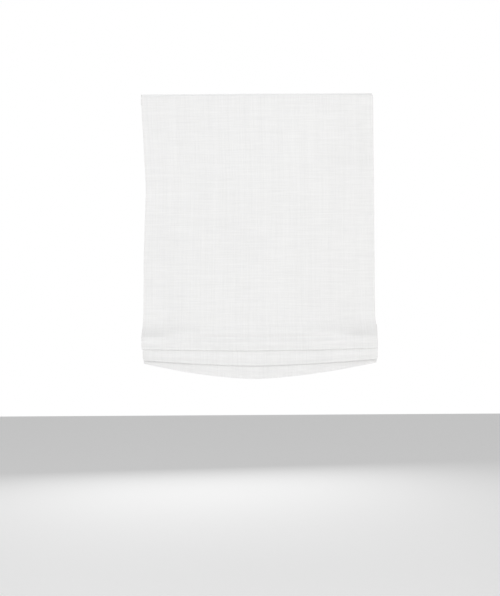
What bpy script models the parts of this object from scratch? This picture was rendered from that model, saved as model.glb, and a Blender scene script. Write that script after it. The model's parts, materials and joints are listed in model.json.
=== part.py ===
"""Relaxed Roman window shade for an inside mount, drawn up part of the way.

Metres, +Z up. X runs along the headrail, the face of the cloth looks along -Y,
and the origin is the centre of the headrail's top face.
"""
import math

import bmesh
import bpy
from mathutils import Matrix, Vector

# Clearances
GAP = 0.0003                    # between two pieces that touch
RUNNING_GAP = 0.0004            # between two pieces that turn past each other
MERGE_DISTANCE = 0.000001

# Face cloth
CLOTH_WIDTH = 0.876
CLOTH_THICKNESS = 0.0008
CLOTH_TOP = 0.007               # the top edge, below the top of the rail
PANEL_DROP = 0.854              # the top edge to the first gathered fold
SIDE_NECK = 0.006               # how far each side pulls in halfway down the panel
FOLD_DROPS = (0.098, 0.139, 0.122, 0.112)       # lower edges, below the first gathered fold
FOLD_RADII = (0.0055, 0.0055, 0.0045, 0.0040)   # front fold first
FOLD_SPACE = 0.002              # between the legs of neighbouring folds
SKIRT_SPACE = 0.004             # between the last fold and the skirt
SKIRT_DROP = 0.153              # the hem, below the first gathered fold
FOLD_SLOPE = 0.9                # drop of a fold's shoulder for each metre forward
FOLD_PITCH = 0.012              # between the gathered folds at their rings
CREST_HEIGHT = 0.008            # of the turn at each ring
PANEL_BEND_RADIUS = 0.015
SHOULDER_RADIUS = 0.008
HEM_SAG = 0.060                 # of the hem between its corners
SAG_POWER = 1.6
PANEL_ROWS = 10
CLOTH_COLUMNS = 12
BEND_STEP = math.radians(36.0)

# Headrail and its ends
RAIL_INSET = 0.003              # of the whole rail inside each side of the cloth
RAIL_DEPTH = 0.044
RAIL_HEIGHT = 0.040
RAIL_WALL = 0.0015
RAIL_LIP = 0.0015               # how far each lower lip reaches in past its wall
RAIL_EDGE_RADIUS = 0.0005
FIXING_HOLE_RADIUS = 0.0025
FIXING_HOLE_INSET = 0.140       # from each end of the rail
CAP_THICKNESS = 0.002
CAP_PLUG_DEPTH = 0.008
CAP_PLUG_WALL = 0.0015

# Hook strip on the rail and loop strip on the cloth
STRIP_HEIGHT = 0.025
STRIP_THICKNESS = 0.001
STRIP_TOP = 0.010               # below the top of the rail
STRIP_INSET = 0.008             # from each side of the cloth

# Lift lines, rings and the upper ring rows
LIFT_LINE_INSET = 0.050         # from each side of the cloth
RING_WIRE_RADIUS = 0.001
RING_ABOVE_FOLD = 0.009         # the first gathered ring, above the first gathered fold
UPPER_ROW_PITCH = 0.185
UPPER_ROWS = 3
CORD_DIAMETER = 0.0014

# Shaft, spools and the carriers that hold them in the rail
SHAFT_ACROSS_FLATS = 0.006
SHAFT_TAIL = 0.004              # past each keeper
KEEPER_WIDTH = 0.004
HUB_WALL = 0.0012               # round the corners of the hexagonal bore
CARRIER_WALL = 0.002
SPOOL_CLEARANCE = 0.0018        # above and below a spool's flanges
SPOOL_FRONT_CLEARANCE = 0.0009  # from the rail's front wall to a spool's flanges
SPOOL_LENGTH = 0.026            # of the drum between its flanges
FLANGE_THICKNESS = 0.0012
FLANGE_RISE = 0.0013            # of a flange above the wound cord
CORD_ENTRY = 0.002              # from the cord to the outer flange
CORD_HOLE_RADIUS = 0.0015
TURNS_WOUND = 8
TURN_MARGIN = 0.0004            # of the wound turns past the falling cord

# Spring motor
MOTOR_DRUM_LENGTH = 0.018
MOTOR_FLANGE_THICKNESS = 0.001
MOTOR_COVER_WALL = 0.0013
DRIVE_CORE_RADIUS = 0.0052
DRIVE_COIL_THICKNESS = 0.0012
STORAGE_CORE_RADIUS = 0.0038
STORAGE_COIL_THICKNESS = 0.0021
MOTOR_FLANGE_RISE = 0.0003
STORAGE_PIN_RADIUS = 0.0015
SPRING_THICKNESS = 0.0004
SPRING_EDGE_GAP = 0.001         # from the strip's edge to each flange
MOTOR_BACK_CLEARANCE = 0.0006   # from the cover's back wall to the storage drum

# Spreader bar, its tips and the cord anchors
BAR_HEIGHT = 0.012
BAR_THICKNESS = 0.003
BAR_INSET = 0.015               # from each side of the cloth
SLEEVE_WALL = 0.0012            # of the tips and anchors round the bar
TIP_LENGTH = 0.014
TIP_END_WALL = 0.002
ANCHOR_WIDTH = 0.012
ANCHOR_BOSS_DEPTH = 0.003       # behind the cord
ANCHOR_HOLE_DEPTH = 0.006
ANCHOR_BELOW_FOLD = 0.002       # the top of an anchor, below the last fold's turn

# Facets
TURNED_SIDES = 24
ROUND_SIDES = 16
CORD_SIDES = 8
RING_SIDES = 16
RING_WIRE_SIDES = 6

# Places that follow from the sizes
HALF_WIDTH = CLOTH_WIDTH / 2
LIFT_X = HALF_WIDTH - LIFT_LINE_INSET
CAP_OUTER_X = HALF_WIDTH - RAIL_INSET
RAIL_END_X = CAP_OUTER_X - CAP_THICKNESS - GAP
RAIL_FRONT = -RAIL_DEPTH / 2
RAIL_INNER_FRONT = RAIL_FRONT + RAIL_WALL
HOOK_FRONT = RAIL_FRONT - GAP - STRIP_THICKNESS
LOOP_FRONT = HOOK_FRONT - GAP - STRIP_THICKNESS
CLOTH_BACK = LOOP_FRONT - GAP
CLOTH_PLANE = CLOTH_BACK - CLOTH_THICKNESS / 2
FIRST_FOLD_Z = -CLOTH_TOP - PANEL_DROP
SKIRT_BACK = CLOTH_BACK + GAP   # where what is sewn to the back of the cloth begins

CARRIER_BOTTOM = -RAIL_HEIGHT + RAIL_WALL + GAP
CARRIER_FLOOR = CARRIER_BOTTOM + CARRIER_WALL
CARRIER_TOP = -RAIL_WALL - GAP
CARRIER_HALF_DEPTH = RAIL_DEPTH / 2 - RAIL_WALL - GAP
SHAFT_Z = (CARRIER_FLOOR + CARRIER_TOP) / 2
FLANGE_RADIUS = (CARRIER_TOP - CARRIER_FLOOR) / 2 - SPOOL_CLEARANCE
DRUM_RADIUS = FLANGE_RADIUS - FLANGE_RISE - CORD_DIAMETER - GAP
WIND_RADIUS = DRUM_RADIUS + GAP + CORD_DIAMETER / 2
SHAFT_Y = RAIL_INNER_FRONT + SPOOL_FRONT_CLEARANCE + FLANGE_RADIUS
CORD_Y = SHAFT_Y - WIND_RADIUS
RING_RADIUS = CORD_Y - SKIRT_BACK - RING_WIRE_RADIUS

SHAFT_CORNER_RADIUS = SHAFT_ACROSS_FLATS / 2 / math.cos(math.pi / 6)
BORE_CORNER_RADIUS = (SHAFT_ACROSS_FLATS / 2 + GAP) / math.cos(math.pi / 6)
HUB_RADIUS = BORE_CORNER_RADIUS + HUB_WALL
HUB_LENGTH = GAP + CARRIER_WALL + GAP
SPOOL_X = LIFT_X + CORD_ENTRY - SPOOL_LENGTH / 2
SPOOL_HALF = SPOOL_LENGTH / 2 + FLANGE_THICKNESS
KEEPER_X = SPOOL_X + SPOOL_HALF + HUB_LENGTH + GAP + KEEPER_WIDTH / 2
SHAFT_HALF = KEEPER_X + KEEPER_WIDTH / 2 + SHAFT_TAIL

DRIVE_FLANGE_RADIUS = DRIVE_CORE_RADIUS + GAP + DRIVE_COIL_THICKNESS + MOTOR_FLANGE_RISE
STORAGE_FLANGE_RADIUS = STORAGE_CORE_RADIUS + GAP + STORAGE_COIL_THICKNESS + MOTOR_FLANGE_RISE
COVER_INNER = CARRIER_HALF_DEPTH - MOTOR_COVER_WALL
STORAGE_Y = COVER_INNER - MOTOR_BACK_CLEARANCE - STORAGE_FLANGE_RADIUS
DRUMS_CLEAR = DRIVE_FLANGE_RADIUS + RUNNING_GAP + STORAGE_FLANGE_RADIUS
STORAGE_Z = SHAFT_Z - math.sqrt(max(0.0, DRUMS_CLEAR ** 2 - (STORAGE_Y - SHAFT_Y) ** 2))
MOTOR_DRUM_HALF = MOTOR_DRUM_LENGTH / 2 + MOTOR_FLANGE_THICKNESS

SLEEVE_HALF_HEIGHT = BAR_HEIGHT / 2 + GAP + SLEEVE_WALL
SLEEVE_DEPTH = BAR_THICKNESS + 2 * (GAP + SLEEVE_WALL)
BAR_Y = SKIRT_BACK + SLEEVE_DEPTH / 2
BAR_HALF = HALF_WIDTH - BAR_INSET


def clear_scene():
    for old in list(bpy.data.objects):
        bpy.data.objects.remove(old)


def finish(name, red, green, blue, roughness, metallic=0.0):
    """A Principled material of one plain colour."""
    material = bpy.data.materials.new(name)
    material.use_nodes = True
    shader = material.node_tree.nodes["Principled BSDF"]
    shader.inputs["Base Color"].default_value = (red, green, blue, 1.0)
    shader.inputs["Roughness"].default_value = roughness
    shader.inputs["Metallic"].default_value = metallic
    return material


def add_empty(name, location):
    """An empty on a joint's axis, which carries the pieces that move on it."""
    empty = bpy.data.objects.new(name, None)
    bpy.context.scene.collection.objects.link(empty)
    empty.location = location
    return empty


def add_piece(name, bm, material, location=(0.0, 0.0, 0.0), parent=None, smooth=False):
    """Turn a bmesh into a named object at its place."""
    mesh = bpy.data.meshes.new(name)
    bm.to_mesh(mesh)
    bm.free()
    if smooth:
        mesh.shade_smooth()
        mesh.set_sharp_from_angle(angle=math.radians(35.0))
    piece = bpy.data.objects.new(name, mesh)
    piece.data.materials.append(material)
    bpy.context.scene.collection.objects.link(piece)
    piece.location = location
    piece.parent = parent
    return piece


def combine(piece, other, operation):
    """Cut another shape from a piece, or join it on, and keep that shape as a guide only."""
    modifier = piece.modifiers.new(operation.lower() + "_" + other.name, "BOOLEAN")
    modifier.operation = operation
    modifier.solver = "EXACT"
    modifier.object = other
    other.hide_render = True
    other.display_type = "WIRE"


def block(size_x, size_y, size_z):
    """A box about its own centre."""
    bm = bmesh.new()
    bmesh.ops.create_cube(bm, size=1.0, matrix=Matrix.Diagonal((size_x, size_y, size_z, 1.0)))
    return bm


def rod(radius, length, sides, axis="X"):
    """A round or many-sided rod about its own centre, along X or Z."""
    turn = Matrix.Rotation(math.pi / 2, 4, "Y") if axis == "X" else Matrix.Identity(4)
    bm = bmesh.new()
    bmesh.ops.create_cone(bm, cap_ends=True, segments=sides, radius1=radius, radius2=radius,
                          depth=length, matrix=turn)
    return bm


def turned(outline, sides):
    """Turn an outline of (along X, radius) points; one that stays off the axis is bored."""
    bm = bmesh.new()
    points = [bm.verts.new((along, 0.0, radius)) for along, radius in outline]
    edges = [bm.edges.new(pair) for pair in zip(points, points[1:])]
    if outline[0][1] > 0.0:
        edges.append(bm.edges.new((points[-1], points[0])))
    bmesh.ops.spin(bm, geom=points + edges, axis=(1.0, 0.0, 0.0), cent=(0.0, 0.0, 0.0),
                   angle=2 * math.pi, steps=sides, use_merge=True)
    bmesh.ops.remove_doubles(bm, verts=bm.verts, dist=MERGE_DISTANCE)
    bmesh.ops.recalc_face_normals(bm, faces=bm.faces)
    return bm


def extruded(outline, along):
    """Carry a flat outline of 3-D points along a vector."""
    bm = bmesh.new()
    face = bm.faces.new([bm.verts.new(point) for point in outline])
    result = bmesh.ops.extrude_face_region(bm, geom=[face])
    moved = [item for item in result["geom"] if isinstance(item, bmesh.types.BMVert)]
    bmesh.ops.translate(bm, verts=moved, vec=along)
    bmesh.ops.recalc_face_normals(bm, faces=bm.faces)
    return bm


def rounded_path(corners):
    """Points along straight runs whose corners, each (forward, height, radius), are round arcs."""
    places = [Vector(corner[:2]) for corner in corners]
    path = [places[0]]
    for before, place, after, corner in zip(places, places[1:], places[2:], corners[1:]):
        incoming = (place - before).normalized()
        outgoing = (after - place).normalized()
        angle = incoming.angle(outgoing)
        radius = corner[2]
        start = place - incoming * radius * math.tan(angle / 2)
        side = (outgoing - incoming * outgoing.dot(incoming)).normalized()
        centre = start + side * radius
        steps = max(2, math.ceil(angle / BEND_STEP))
        for step in range(steps + 1):
            turn = angle * step / steps
            point = centre - side * radius * math.cos(turn) + incoming * radius * math.sin(turn)
            if (point - path[-1]).length > MERGE_DISTANCE:
                path.append(point)
    path.append(places[-1])
    return path


def crest_z(row):
    """Height of a gathered fold's turn at the sides of the cloth."""
    return FIRST_FOLD_Z - row * FOLD_PITCH


def fold_depths():
    """Forward places of each fold's front and back legs, front fold first."""
    depths = []
    back = SKIRT_SPACE
    for radius in reversed(FOLD_RADII):
        front = back + 2 * radius
        depths.append((front, back))
        back = front + FOLD_SPACE
    return depths[::-1]


def cloth_path():
    """The cloth's section as (forward, height, arc length) from its top edge to its hem."""
    half_crest = CREST_HEIGHT / 2
    slope_angle = math.atan(FOLD_SLOPE)
    crest_radius = half_crest * math.tan((math.pi / 2 - slope_angle) / 2)
    corners = [(0.0, -CLOTH_TOP, 0.0)]
    corners.append((0.0, FIRST_FOLD_Z, PANEL_BEND_RADIUS))
    start = FIRST_FOLD_Z
    for row, ((front, back), drop, radius) in enumerate(
            zip(fold_depths(), FOLD_DROPS, FOLD_RADII), start=1):
        bottom = FIRST_FOLD_Z - drop
        turn_top = crest_z(row) + half_crest
        corners.append((front, start - FOLD_SLOPE * front, SHOULDER_RADIUS))
        corners.append((front, bottom, radius))
        corners.append((back, bottom, radius))
        corners.append((back, turn_top - FOLD_SLOPE * back, min(SHOULDER_RADIUS, back)))
        corners.append((0.0, turn_top, crest_radius))
        start = crest_z(row) - half_crest
        if row < len(FOLD_DROPS):
            corners.append((0.0, start, crest_radius))
    corners.append((0.0, FIRST_FOLD_Z - SKIRT_DROP, 0.0))
    bends = rounded_path(corners)
    panel_bottom = bends[1]
    panel = [bends[0].lerp(panel_bottom, row / PANEL_ROWS) for row in range(PANEL_ROWS)]
    points = panel + bends[1:]
    path = []
    arc = 0.0
    for index, point in enumerate(points):
        if index:
            arc += (point - points[index - 1]).length
        path.append((point.x, point.y, arc))
    return path


CLOTH_PATH = cloth_path()


def arc_near(height):
    """Arc length at the point of the cloth's own plane nearest to a height."""
    return min(CLOTH_PATH, key=lambda point: math.hypot(point[0], point[1] - height))[2]


GATHER_ARC = arc_near(FIRST_FOLD_Z)
CLOTH_LENGTH = CLOTH_PATH[-1][2]


def sag(arc, x):
    """How far the cloth swags at a place along its length and across its width."""
    share = max(0.0, arc - GATHER_ARC) / (CLOTH_LENGTH - GATHER_ARC)
    across = min(1.0, abs(x) / HALF_WIDTH)
    return HEM_SAG * share * (1.0 - across ** SAG_POWER)


def crest_at_lift_line(row):
    """Height of a gathered fold's turn where the lift cords pass it."""
    return crest_z(row) - sag(arc_near(crest_z(row)), LIFT_X)


LAST_ROW = len(FOLD_DROPS)
ANCHOR_TOP = crest_at_lift_line(LAST_ROW) - CREST_HEIGHT / 2 - ANCHOR_BELOW_FOLD
BAR_Z = ANCHOR_TOP - SLEEVE_HALF_HEIGHT
FIRST_RING_Z = FIRST_FOLD_Z + RING_ABOVE_FOLD
CORD_END = ANCHOR_TOP - ANCHOR_HOLE_DEPTH + GAP

WHITE_METAL = finish("white_enamel", 0.86, 0.86, 0.85, 0.35)
WHITE_PLASTIC = finish("white_plastic", 0.84, 0.84, 0.82, 0.45)
GREY_PLASTIC = finish("grey_plastic", 0.62, 0.63, 0.64, 0.50)
CLEAR_RING = finish("ring_plastic", 0.88, 0.88, 0.86, 0.25)
LINEN = finish("linen", 0.87, 0.87, 0.86, 0.90)
TAPE = finish("fastener_tape", 0.80, 0.80, 0.79, 0.95)
CORD = finish("lift_cord", 0.86, 0.86, 0.83, 0.80)
STEEL = finish("steel", 0.60, 0.60, 0.61, 0.30, 1.0)
SPRING_STEEL = finish("spring_steel", 0.42, 0.44, 0.48, 0.25, 1.0)
ALUMINIUM = finish("aluminium", 0.78, 0.79, 0.80, 0.35, 1.0)


def build_cloth():
    """The face cloth: its section is carried across the width, then swagged and necked in."""
    bm = bmesh.new()
    arc_layer = bm.verts.layers.float.new("arc")
    verts = []
    for forward, height, arc in CLOTH_PATH:
        vert = bm.verts.new((-HALF_WIDTH, CLOTH_PLANE - forward, height))
        vert[arc_layer] = arc
        verts.append(vert)
    edge = [bm.edges.new(pair) for pair in zip(verts, verts[1:])]
    for _ in range(CLOTH_COLUMNS):
        result = bmesh.ops.extrude_edge_only(bm, edges=edge)
        moved = [item for item in result["geom"] if isinstance(item, bmesh.types.BMVert)]
        edge = [item for item in result["geom"] if isinstance(item, bmesh.types.BMEdge)]
        bmesh.ops.translate(bm, verts=moved, vec=(CLOTH_WIDTH / CLOTH_COLUMNS, 0.0, 0.0))
    for vert in bm.verts:
        down = min(1.0, vert[arc_layer] / GATHER_ARC)
        neck = SIDE_NECK * math.sin(math.pi * down) / HALF_WIDTH
        vert.co.z -= sag(vert[arc_layer], vert.co.x)
        vert.co.x *= 1.0 - neck
    cloth = add_piece("face_cloth", bm, LINEN, smooth=True)
    skin = cloth.modifiers.new("thickness", "SOLIDIFY")
    skin.thickness = CLOTH_THICKNESS
    skin.offset = 0.0


def build_rail():
    """The formed channel, open below between its two lips, with two holes for fixing screws."""
    back = RAIL_DEPTH / 2
    inner = back - RAIL_WALL
    lip = inner - RAIL_LIP
    half = [(0.0, 0.0), (back, 0.0), (back, -RAIL_HEIGHT), (lip, -RAIL_HEIGHT),
            (lip, -RAIL_HEIGHT + RAIL_WALL), (inner, -RAIL_HEIGHT + RAIL_WALL),
            (inner, -RAIL_WALL), (0.0, -RAIL_WALL)]
    right = [(-RAIL_END_X, y, z) for y, z in half[1:-1]]
    left = [(x, -y, z) for x, y, z in reversed(right)]
    rail = add_piece("headrail", extruded(right + left, (2 * RAIL_END_X, 0.0, 0.0)), WHITE_METAL)
    edges = rail.modifiers.new("rolled_edges", "BEVEL")
    edges.width = RAIL_EDGE_RADIUS
    edges.segments = 2
    edges.limit_method = "ANGLE"
    for side, name in ((-1, "left"), (1, "right")):
        place = (side * (RAIL_END_X - FIXING_HOLE_INSET), 0.0, -RAIL_WALL / 2)
        hole = add_piece("cutter_fixing_hole_" + name,
                         rod(FIXING_HOLE_RADIUS, 3 * RAIL_WALL, ROUND_SIDES, "Z"), WHITE_METAL, place)
        combine(rail, hole, "DIFFERENCE")


def build_end_cap(side, name):
    """A moulded cap with a hollow plug that pushes into the end of the rail."""
    cap_inner = CAP_OUTER_X - CAP_THICKNESS
    plug_half_depth = RAIL_DEPTH / 2 - RAIL_WALL - GAP
    plug_top = -RAIL_WALL - GAP
    plug_bottom = -RAIL_HEIGHT + RAIL_WALL + GAP
    plug_height = plug_top - plug_bottom
    cap = add_piece("end_cap_" + name, block(CAP_THICKNESS, RAIL_DEPTH, RAIL_HEIGHT), WHITE_PLASTIC,
                    (side * (CAP_OUTER_X - CAP_THICKNESS / 2), 0.0, -RAIL_HEIGHT / 2))
    overlap = CAP_THICKNESS / 2
    plug_x = cap_inner - (CAP_PLUG_DEPTH - overlap) / 2
    plug = add_piece("guide_cap_plug_" + name,
                     block(CAP_PLUG_DEPTH + overlap, 2 * plug_half_depth, plug_height), WHITE_PLASTIC,
                     (side * plug_x, 0.0, (plug_top + plug_bottom) / 2))
    hollow = add_piece("cutter_cap_hollow_" + name,
                       block(2 * CAP_PLUG_DEPTH, 2 * (plug_half_depth - CAP_PLUG_WALL),
                             plug_height - 2 * CAP_PLUG_WALL), WHITE_PLASTIC,
                       (side * (cap_inner - CAP_PLUG_DEPTH), 0.0, (plug_top + plug_bottom) / 2))
    combine(cap, plug, "UNION")
    combine(cap, hollow, "DIFFERENCE")


def build_strips():
    """The hook strip on the rail and the loop strip sewn to the cloth."""
    length = CLOTH_WIDTH - 2 * STRIP_INSET
    middle = -STRIP_TOP - STRIP_HEIGHT / 2
    for name, front in (("hook_strip", HOOK_FRONT), ("loop_strip", LOOP_FRONT)):
        add_piece(name, block(length, STRIP_THICKNESS, STRIP_HEIGHT), TAPE,
                  (0.0, front + STRIP_THICKNESS / 2, middle))


def build_shaft(shaft_axis):
    """The hexagonal shaft and the two collars that keep it in place."""
    add_piece("lift_shaft", rod(SHAFT_CORNER_RADIUS, 2 * SHAFT_HALF, 6), STEEL, parent=shaft_axis)
    for side, name in ((-1, "left"), (1, "right")):
        place = (side * KEEPER_X, 0.0, 0.0)
        keeper = add_piece("shaft_keeper_" + name, rod(HUB_RADIUS + GAP, KEEPER_WIDTH, TURNED_SIDES),
                           GREY_PLASTIC, place, shaft_axis, smooth=True)
        bore_hexagon(keeper, name + "_keeper", KEEPER_WIDTH, place, shaft_axis)


def bore_hexagon(piece, name, length, place, parent):
    """Cut the shaft's hexagonal bore through a piece."""
    bore = add_piece("cutter_bore_" + name, rod(BORE_CORNER_RADIUS, 2 * length, 6), GREY_PLASTIC,
                     place, parent)
    combine(piece, bore, "DIFFERENCE")


def build_spool(side, name, shaft_axis):
    """A cord spool: drum, two flanges, and a hub at each end that runs in its cradle."""
    drum = SPOOL_LENGTH / 2
    hub_end = SPOOL_HALF + HUB_LENGTH
    half = [(drum, DRUM_RADIUS), (drum, FLANGE_RADIUS), (SPOOL_HALF, FLANGE_RADIUS),
            (SPOOL_HALF, HUB_RADIUS), (hub_end, HUB_RADIUS), (hub_end, 0.0)]
    outline = [(-along, radius) for along, radius in reversed(half)] + half
    place = (side * SPOOL_X, 0.0, 0.0)
    spool = add_piece("cord_spool_" + name, turned(outline, TURNED_SIDES), GREY_PLASTIC, place,
                      shaft_axis, smooth=True)
    bore_hexagon(spool, name + "_spool", 2 * hub_end, place, shaft_axis)


def carrier(inner_half, half_depth, top):
    """A floor with a plate standing at each end, carried from front to back."""
    outer = inner_half + CARRIER_WALL
    outline = [(-outer, CARRIER_BOTTOM), (outer, CARRIER_BOTTOM), (outer, top), (inner_half, top),
               (inner_half, CARRIER_FLOOR), (-inner_half, CARRIER_FLOOR), (-inner_half, top),
               (-outer, top)]
    return extruded([(x, -half_depth, z) for x, z in outline], (0.0, 2 * half_depth, 0.0))


def build_cradle(side, name):
    """The cradle that holds a spool over the open side of the rail, with an eye for its cord."""
    inner_half = SPOOL_HALF + GAP
    cradle = add_piece("spool_cradle_" + name, carrier(inner_half, CARRIER_HALF_DEPTH, CARRIER_TOP),
                       WHITE_PLASTIC, (side * SPOOL_X, 0.0, 0.0))
    bearing = add_piece("cutter_bearing_" + name,
                        rod(HUB_RADIUS + GAP, 3 * inner_half, TURNED_SIDES), WHITE_PLASTIC,
                        (side * SPOOL_X, SHAFT_Y, SHAFT_Z))
    eye = add_piece("cutter_cord_eye_" + name, rod(CORD_HOLE_RADIUS, 3 * CARRIER_WALL, ROUND_SIDES, "Z"),
                    WHITE_PLASTIC, (side * LIFT_X, CORD_Y, (CARRIER_BOTTOM + CARRIER_FLOOR) / 2))
    combine(cradle, bearing, "DIFFERENCE")
    combine(cradle, eye, "DIFFERENCE")


def build_lift_cord(side, name):
    """A lift cord: its turns on the spool, and the straight fall to its anchor."""
    width = TURNS_WOUND * CORD_DIAMETER
    inner = DRUM_RADIUS + GAP
    outer = inner + CORD_DIAMETER
    section = [(-width / 2, inner), (width / 2, inner), (width / 2, outer), (-width / 2, outer)]
    first_turn = LIFT_X + CORD_DIAMETER / 2 + TURN_MARGIN
    cord = add_piece("lift_cord_" + name, turned(section, TURNED_SIDES), CORD,
                     (side * (first_turn - width / 2), SHAFT_Y, SHAFT_Z), smooth=True)
    fall = add_piece("guide_cord_fall_" + name,
                     rod(CORD_DIAMETER / 2, SHAFT_Z - CORD_END, CORD_SIDES, "Z"), CORD,
                     (side * LIFT_X, CORD_Y, (SHAFT_Z + CORD_END) / 2))
    fall.rotation_euler.z = math.pi / CORD_SIDES
    combine(cord, fall, "UNION")


def build_motor(shaft_axis, storage_axis):
    """The spring motor: frame, cover, the drum on the shaft, the storage drum and its spring."""
    inner_half = MOTOR_DRUM_HALF + GAP
    frame_half_depth = CARRIER_HALF_DEPTH - MOTOR_COVER_WALL - GAP
    frame_top = CARRIER_TOP - MOTOR_COVER_WALL - GAP
    frame = add_piece("motor_frame", carrier(inner_half, frame_half_depth, frame_top), WHITE_PLASTIC)
    for name, radius, y, z in (("drive", HUB_RADIUS + GAP, SHAFT_Y, SHAFT_Z),
                               ("storage", STORAGE_PIN_RADIUS + GAP, STORAGE_Y, STORAGE_Z)):
        hole = add_piece("cutter_motor_" + name, rod(radius, 3 * inner_half, TURNED_SIDES),
                         WHITE_PLASTIC, (0.0, y, z))
        combine(frame, hole, "DIFFERENCE")

    outer, inner = CARRIER_HALF_DEPTH, COVER_INNER
    foot = CARRIER_FLOOR + GAP
    top = CARRIER_TOP
    section = [(-outer, foot), (-outer, top), (outer, top), (outer, foot), (inner, foot),
               (inner, top - MOTOR_COVER_WALL), (-inner, top - MOTOR_COVER_WALL), (-inner, foot)]
    cover_half = inner_half + CARRIER_WALL
    add_piece("motor_cover", extruded([(-cover_half, y, z) for y, z in section],
                                      (2 * cover_half, 0.0, 0.0)), GREY_PLASTIC)

    drum_half = MOTOR_DRUM_LENGTH / 2
    hub_end = MOTOR_DRUM_HALF + HUB_LENGTH
    half = [(drum_half, DRIVE_CORE_RADIUS), (drum_half, DRIVE_FLANGE_RADIUS),
            (MOTOR_DRUM_HALF, DRIVE_FLANGE_RADIUS), (MOTOR_DRUM_HALF, HUB_RADIUS),
            (hub_end, HUB_RADIUS), (hub_end, 0.0)]
    drive = add_piece("drive_drum",
                      turned([(-along, radius) for along, radius in reversed(half)] + half,
                             TURNED_SIDES), GREY_PLASTIC, parent=shaft_axis, smooth=True)
    bore_hexagon(drive, "drive_drum", 2 * hub_end, (0.0, 0.0, 0.0), shaft_axis)

    bore = STORAGE_PIN_RADIUS + GAP
    half = [(drum_half, STORAGE_CORE_RADIUS), (drum_half, STORAGE_FLANGE_RADIUS),
            (MOTOR_DRUM_HALF, STORAGE_FLANGE_RADIUS), (MOTOR_DRUM_HALF, bore)]
    add_piece("storage_drum", turned([(-along, radius) for along, radius in reversed(half)] + half,
                                     TURNED_SIDES), GREY_PLASTIC, parent=storage_axis, smooth=True)
    add_piece("storage_pin", rod(STORAGE_PIN_RADIUS, 2 * cover_half, ROUND_SIDES), STEEL,
              (0.0, STORAGE_Y, STORAGE_Z), smooth=True)
    build_motor_spring()


def build_motor_spring():
    """The spring strip: a coil on each drum, and the run that crosses between them."""
    width = MOTOR_DRUM_LENGTH - 2 * SPRING_EDGE_GAP
    drive_axis = Vector((SHAFT_Y, SHAFT_Z))
    storage_axis = Vector((STORAGE_Y, STORAGE_Z))
    coils = []
    for name, core, thickness, axis in (
            ("motor_spring", DRIVE_CORE_RADIUS, DRIVE_COIL_THICKNESS, drive_axis),
            ("guide_storage_coil", STORAGE_CORE_RADIUS, STORAGE_COIL_THICKNESS, storage_axis)):
        inner = core + GAP
        outer = inner + thickness
        section = [(-width / 2, inner), (width / 2, inner), (width / 2, outer), (-width / 2, outer)]
        coils.append(add_piece(name, turned(section, TURNED_SIDES), SPRING_STEEL, (0.0, *axis),
                               smooth=True))
    drive_middle = DRIVE_CORE_RADIUS + GAP + DRIVE_COIL_THICKNESS / 2
    storage_middle = STORAGE_CORE_RADIUS + GAP + STORAGE_COIL_THICKNESS / 2
    between = storage_axis - drive_axis
    angle = math.acos((drive_middle + storage_middle) / between.length)
    angle += math.atan2(between.y, between.x)
    square_off = Vector((math.cos(angle), math.sin(angle)))
    leaves = drive_axis + square_off * drive_middle
    meets = storage_axis - square_off * storage_middle
    run = meets - leaves
    strip = add_piece("guide_spring_run", block(width, run.length, SPRING_THICKNESS), SPRING_STEEL,
                      (0.0, *((leaves + meets) / 2)))
    strip.rotation_euler.x = math.atan2(run.y, run.x)
    combine(coils[0], coils[1], "UNION")
    combine(coils[0], strip, "UNION")


def build_ring_row(row_name, height, carrier_empty):
    """The two rings of one row, sewn to the back of the cloth round the lift cords."""
    for side, name in ((-1, "left"), (1, "right")):
        bm = bmesh.new()
        turn = Matrix.Translation((RING_RADIUS, 0.0, 0.0)) @ Matrix.Rotation(math.pi / 2, 4, "X")
        bmesh.ops.create_circle(bm, segments=RING_WIRE_SIDES, radius=RING_WIRE_RADIUS, matrix=turn)
        bmesh.ops.spin(bm, geom=bm.verts[:] + bm.edges[:], axis=(0.0, 0.0, 1.0),
                       cent=(0.0, 0.0, 0.0), angle=2 * math.pi, steps=RING_SIDES, use_merge=True)
        bmesh.ops.recalc_face_normals(bm, faces=bm.faces)
        offset = Vector((side * LIFT_X, CORD_Y, height)) - carrier_empty.location
        add_piece(row_name + "_" + name, bm, CLEAR_RING, offset, carrier_empty, smooth=True)


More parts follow.
